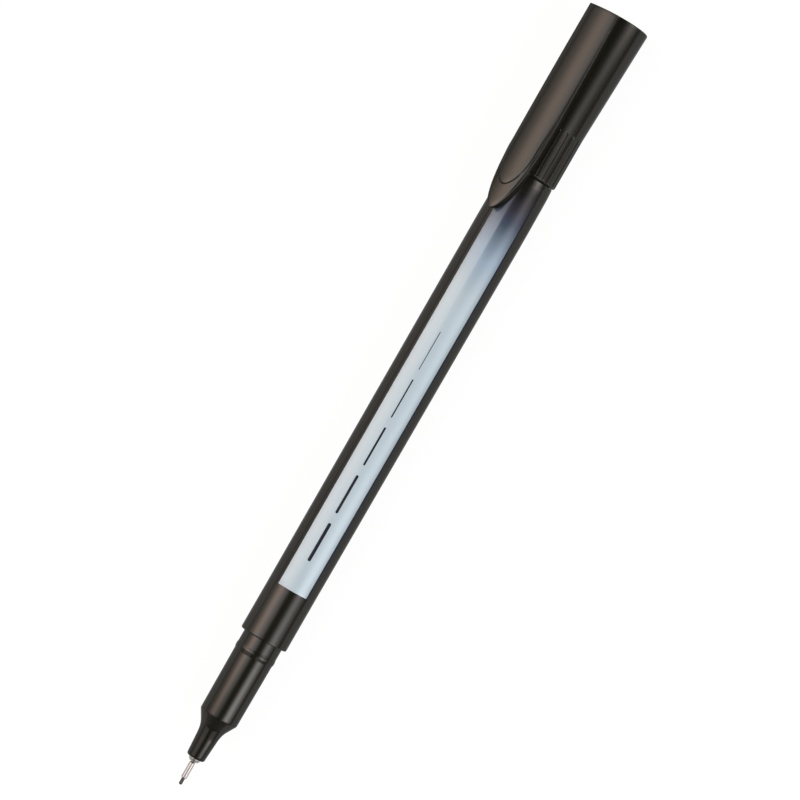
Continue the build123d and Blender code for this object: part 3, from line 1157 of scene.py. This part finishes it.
def combine(piece, tool, operation):
    """Cut a tool out of a piece or join it on, and put the tool away."""
    boolean = piece.modifiers.new("tool", "BOOLEAN")
    boolean.operation = operation
    boolean.object = tool
    boolean.solver = "EXACT"
    evaluated = piece.evaluated_get(bpy.context.evaluated_depsgraph_get())
    piece.data = bpy.data.meshes.new_from_object(evaluated)
    piece.modifiers.clear()
    bpy.data.objects.remove(tool)


foot_front = clip_top - 4.1
foot_rear = clip_top - 1.1
foot_half = 1.5
foot_low = 4.56
foot_high = 6.21
foot_room = 0.08
pocket = block(
    "pocket_tool",
    foot_front - foot_room,
    foot_rear + foot_room,
    foot_half + foot_room,
    foot_low - foot_room,
    foot_high + foot_room,
)
combine(cap, pocket, "DIFFERENCE")
even_shading(cap)
dress(cap, "cap_shell", black_body)
print("cap with pocket", len(cap.data.polygons), "faces")

# %% [markdown]
# The clip is a long tongue with a gentle crown, a half-elliptical tip and a raised panel framed by a fine
# groove. Its outline, its groove and its panel are all the same kind of curve: bowed sides that run from
# the cap's top into half an ellipse. So the clip is made of nested curves, each at its own height. Towards
# the top the panel sinks to the rim and the groove runs out.

# %% Curves of the clip
clip_half = 3.225
clip_bow = 0.1
clip_base = clip_tip + 13.0
tip_point = 1.08
crown_out = 6.8
crown_radius = 10.0
panel_tip = clip_tip + 4.65
panel_base = panel_tip + 7.55
rim_drop = 0.12
sink_places = (panel_tip, panel_base, panel_base + 6, clip_top)
panel_left = (1.0, 1.0, 0.42, 0.28)
groove_left = (1.0, 0.45, 0.1, 0.05)
under_places = (clip_tip, clip_tip + 6.0, clip_tip + 7.6, cone_start, cap_rim)
under_reaches = (4.87, 4.87, 5.12, 5.12, 5.70)
end_rounding = 0.12
side_steps = 44
tip_steps = 97


def tongue(tip, base, half, bow, spread=0.0):
    """Places along and sideways of one nested curve, from the top down one side, round the tip and up."""
    down = np.linspace(0, 1, side_steps, endpoint=False)
    round_tip = np.linspace(0, pi, tip_steps)
    side_along = clip_top - end_rounding + (base - clip_top + end_rounding) * down
    side_out = half + bow * 4 * down * (1 - down) + spread * (1 - down**4)
    along = np.concatenate((side_along, base - (base - tip) * np.sin(round_tip), side_along[::-1]))
    tip_out = half * np.sign(np.cos(round_tip)) * np.abs(np.cos(round_tip)) ** tip_point
    sideways = np.concatenate((side_out, tip_out, -side_out[::-1]))
    return along, sideways


def crown(sideways, drop):
    """Height of the crowned face, less a drop."""
    return crown_out - crown_radius + np.sqrt((crown_radius - drop) ** 2 - sideways**2)


def underside(along, sideways):
    """Height of the clip's hollow underside, which follows the barrel, the collar and the cone."""
    return np.sqrt(np.interp(along, under_places, under_reaches) ** 2 - sideways**2)


def sunk(along, drop):
    """Drop of a row at each place, with what is left there of the panel's rise and of the groove's depth."""
    rise = np.interp(along, sink_places, panel_left)
    depth = np.interp(along, sink_places, groove_left)
    return rim_drop - (rim_drop - min(drop, rim_drop)) * rise + max(drop - rim_drop, 0) * depth


print("clip", round(clip_top - clip_tip, 1), "mm long")

# %% [markdown]
# Each row of points follows one of the nested curves. The rows run from the middle of the panel out over
# its shoulder, through the groove and across the rim, which rolls off towards its edge. Then they go down
# the wall and back along the underside.

# %% Rows of the clip's face
panel_half = 2.92
panel_shares = (0, 0.12, 0.25, 0.4, 0.55, 0.68, 0.8)
panel_spread = 0.17
panel_draw = -0.1
shoulder_spread = 0.3
shoulder = [(-0.40, 0), (-0.30, 0.006), (-0.20, 0.022), (-0.12, 0.046), (-0.05, 0.074), (-0.015, 0.096)]
groove_width = 0.12
groove_depth = 0.20
groove_closing = 0.85
groove_end = groove_width + 0.02
groove = [
    (0, rim_drop),
    (0.01, 0.15),
    (0.03, 0.18),
    (0.05, groove_depth),
    (groove_width / 2, groove_depth),
    (groove_width - 0.05, groove_depth),
    (groove_width - 0.03, 0.19),
    (groove_width - 0.01, 0.17),
    (groove_width, 0.14),
    (groove_end, rim_drop),
]


def panel_rows():
    """Rows of (along, sideways, out) from the middle of the panel to the far side of the groove."""
    for share in panel_shares:
        tip = panel_base - share * (panel_base - panel_tip)
        along, sideways = tongue(tip, panel_base, share * panel_half, share * clip_bow, share * panel_draw)
        yield along, sideways, crown(sideways, sunk(along, 0))
    for offset, drop in shoulder + groove:
        spread = panel_spread + shoulder_spread * min(offset, 0) - groove_closing * max(offset, 0)
        along, sideways = tongue(panel_tip - offset, panel_base, panel_half + offset, clip_bow, spread)
        yield along, sideways, crown(sideways, sunk(along, drop))


face_rows = list(panel_rows())
print(len(face_rows), "rows on the panel")

# %% Rows of the clip's rim, wall and underside
clip_rounding = 0.10
edge_band = 0.8
edge_curve = 0.125
rim_rows = 9
wall_draft = 0.22
wall_shares = (0.25, 0.5, 0.75)
under_edge = 0.1
under_start = 0.95
under_rows = 9


def inset_tongue(inset):
    """The clip's own outline, drawn in on all sides."""
    return tongue(clip_tip + inset, clip_base, clip_half - inset, clip_bow)


def outer_rows():
    """Rows of (along, sideways, out) from the groove over the edge to the middle of the underside."""
    inner = np.array((panel_tip - groove_end, panel_base, panel_half + groove_end))
    outer = np.array((clip_tip + clip_rounding, clip_base, clip_half - clip_rounding))
    rim_spread = panel_spread - groove_closing * groove_end
    inner_along, inner_side = tongue(*inner, clip_bow, rim_spread)
    outer_along, outer_side = tongue(*outer, clip_bow)
    width = np.hypot(outer_along - inner_along, outer_side - inner_side)
    margin = np.maximum(edge_band - width, 0) ** 2
    for share in np.linspace(0, 1, rim_rows)[1:-1]:
        along, sideways = tongue(*(inner + (outer - inner) * share), clip_bow, rim_spread * (1 - share))
        reach = np.maximum(edge_band - width * (1 - share), 0) ** 2
        yield along, sideways, crown(sideways, rim_drop + edge_curve * (reach - margin))
    edge_drop = rim_drop + edge_curve * (edge_band**2 - margin)
    for turn in np.linspace(0, pi / 2, arc_steps + 1):
        along, sideways = inset_tongue(clip_rounding * (1 - sin(turn)))
        yield along, sideways, crown(sideways, edge_drop + clip_rounding * (1 - cos(turn)))
    for share in wall_shares:
        along, sideways = inset_tongue(wall_draft * share)
        upper = crown(sideways, edge_drop + clip_rounding)
        lower = underside(along, sideways) + under_edge
        yield along, sideways, upper + (lower - upper) * share
    for turn in np.linspace(0, pi / 2, arc_steps + 1):
        along, sideways = inset_tongue(wall_draft + under_edge * (1 - cos(turn)))
        yield along, sideways, underside(along, sideways) + under_edge * (1 - sin(turn))
    under_tip = clip_tip + wall_draft + under_edge
    under_half = clip_half - wall_draft - under_edge
    for share in np.linspace(under_start, 0, under_rows):
        tip = clip_base - share * (clip_base - under_tip)
        along, sideways = tongue(tip, clip_base, share * under_half, share * clip_bow)
        yield along, sideways, underside(along, sideways)


clip_rows = face_rows + list(outer_rows())
print(len(clip_rows), "rows in all")

# %% [markdown]
# The rows become the columns and rows of one grid. At the clip's top the end section shrinks inwards over
# the last few columns, which rounds the edge there. The foot is joined on last.

# %% Clip
def rounded_end(side, out):
    """Extra columns that round the clip's top end: the end section shrinks inwards as it reaches the end."""
    step_side = np.gradient(side)
    step_out = np.gradient(out)
    step_out[0] = step_out[-1] = 0
    size = np.hypot(step_side, step_out)
    for turn in np.linspace(0, pi / 2, arc_steps + 1)[:-1]:
        inset = end_rounding * (1 - sin(turn))
        along = clip_top - end_rounding * (1 - cos(turn))
        yield along, side + step_out / size * inset, out - step_side / size * inset


grid = np.stack([np.stack(row) for row in clip_rows], axis=1)
head = [np.stack((np.full(len(s), a), s, o)) for a, s, o in rounded_end(grid[1, :, 0], grid[2, :, 0])]
tail = [column * np.array((1, -1, 1))[:, None] for column in head]
grid = np.concatenate((np.stack(head, axis=2), grid, np.stack(tail[::-1], axis=2)), axis=2)
count_rows, count_columns = grid.shape[1:]
clip_faces = [
    (corner, corner + 1, corner + count_columns + 1, corner + count_columns)
    for row in range(count_rows - 1)
    for corner in range(row * count_columns, (row + 1) * count_columns - 1)
]
clip = finish_mesh("clip_tongue", clip_place(*grid).reshape(-1, 3), clip_faces)
combine(clip, block("foot_tool", foot_front, foot_rear, foot_half, foot_low, foot_high), "UNION")
even_shading(clip)
dress(clip, "pocket_clip", black_body)
print("clip", len(clip.data.polygons), "faces")

# %% [markdown]
# Inside the barrel, out of sight, the ink waits in a bundle of fibre wrapped in film, and a wick leads it
# to the nib. Their packed shapes are right as they are and only need their finish.

# %% Hidden ink supply
def thin_film(name):
    """Milky packing film."""
    finish = new_finish(name)
    cloud = finish.noise(4.0, (3, 1, 1))
    colour = finish.mix(cloud, rgba(0.74, 0.75, 0.74), rgba(0.84, 0.85, 0.84))
    return finish.coat(Base_Color=colour, Roughness=0.25 + cloud * 0.15)


ink_fibre = inked_fibre("inked_bundle_fibre", (0.10, 0.10, 0.11), (0.03, 0.03, 0.036), 0.12)
for node, material in (
    ("feed_wick", ink_fibre),
    ("reservoir_core", ink_fibre),
    ("reservoir_sleeve", thin_film("milky_film")),
):
    shape = frame["nodes"][node]
    shape.data.materials.clear()
    shape.data.materials.append(material)
    print(node, material.name)

# %% [markdown]
# The dressed pen has to be the size of the bare one.
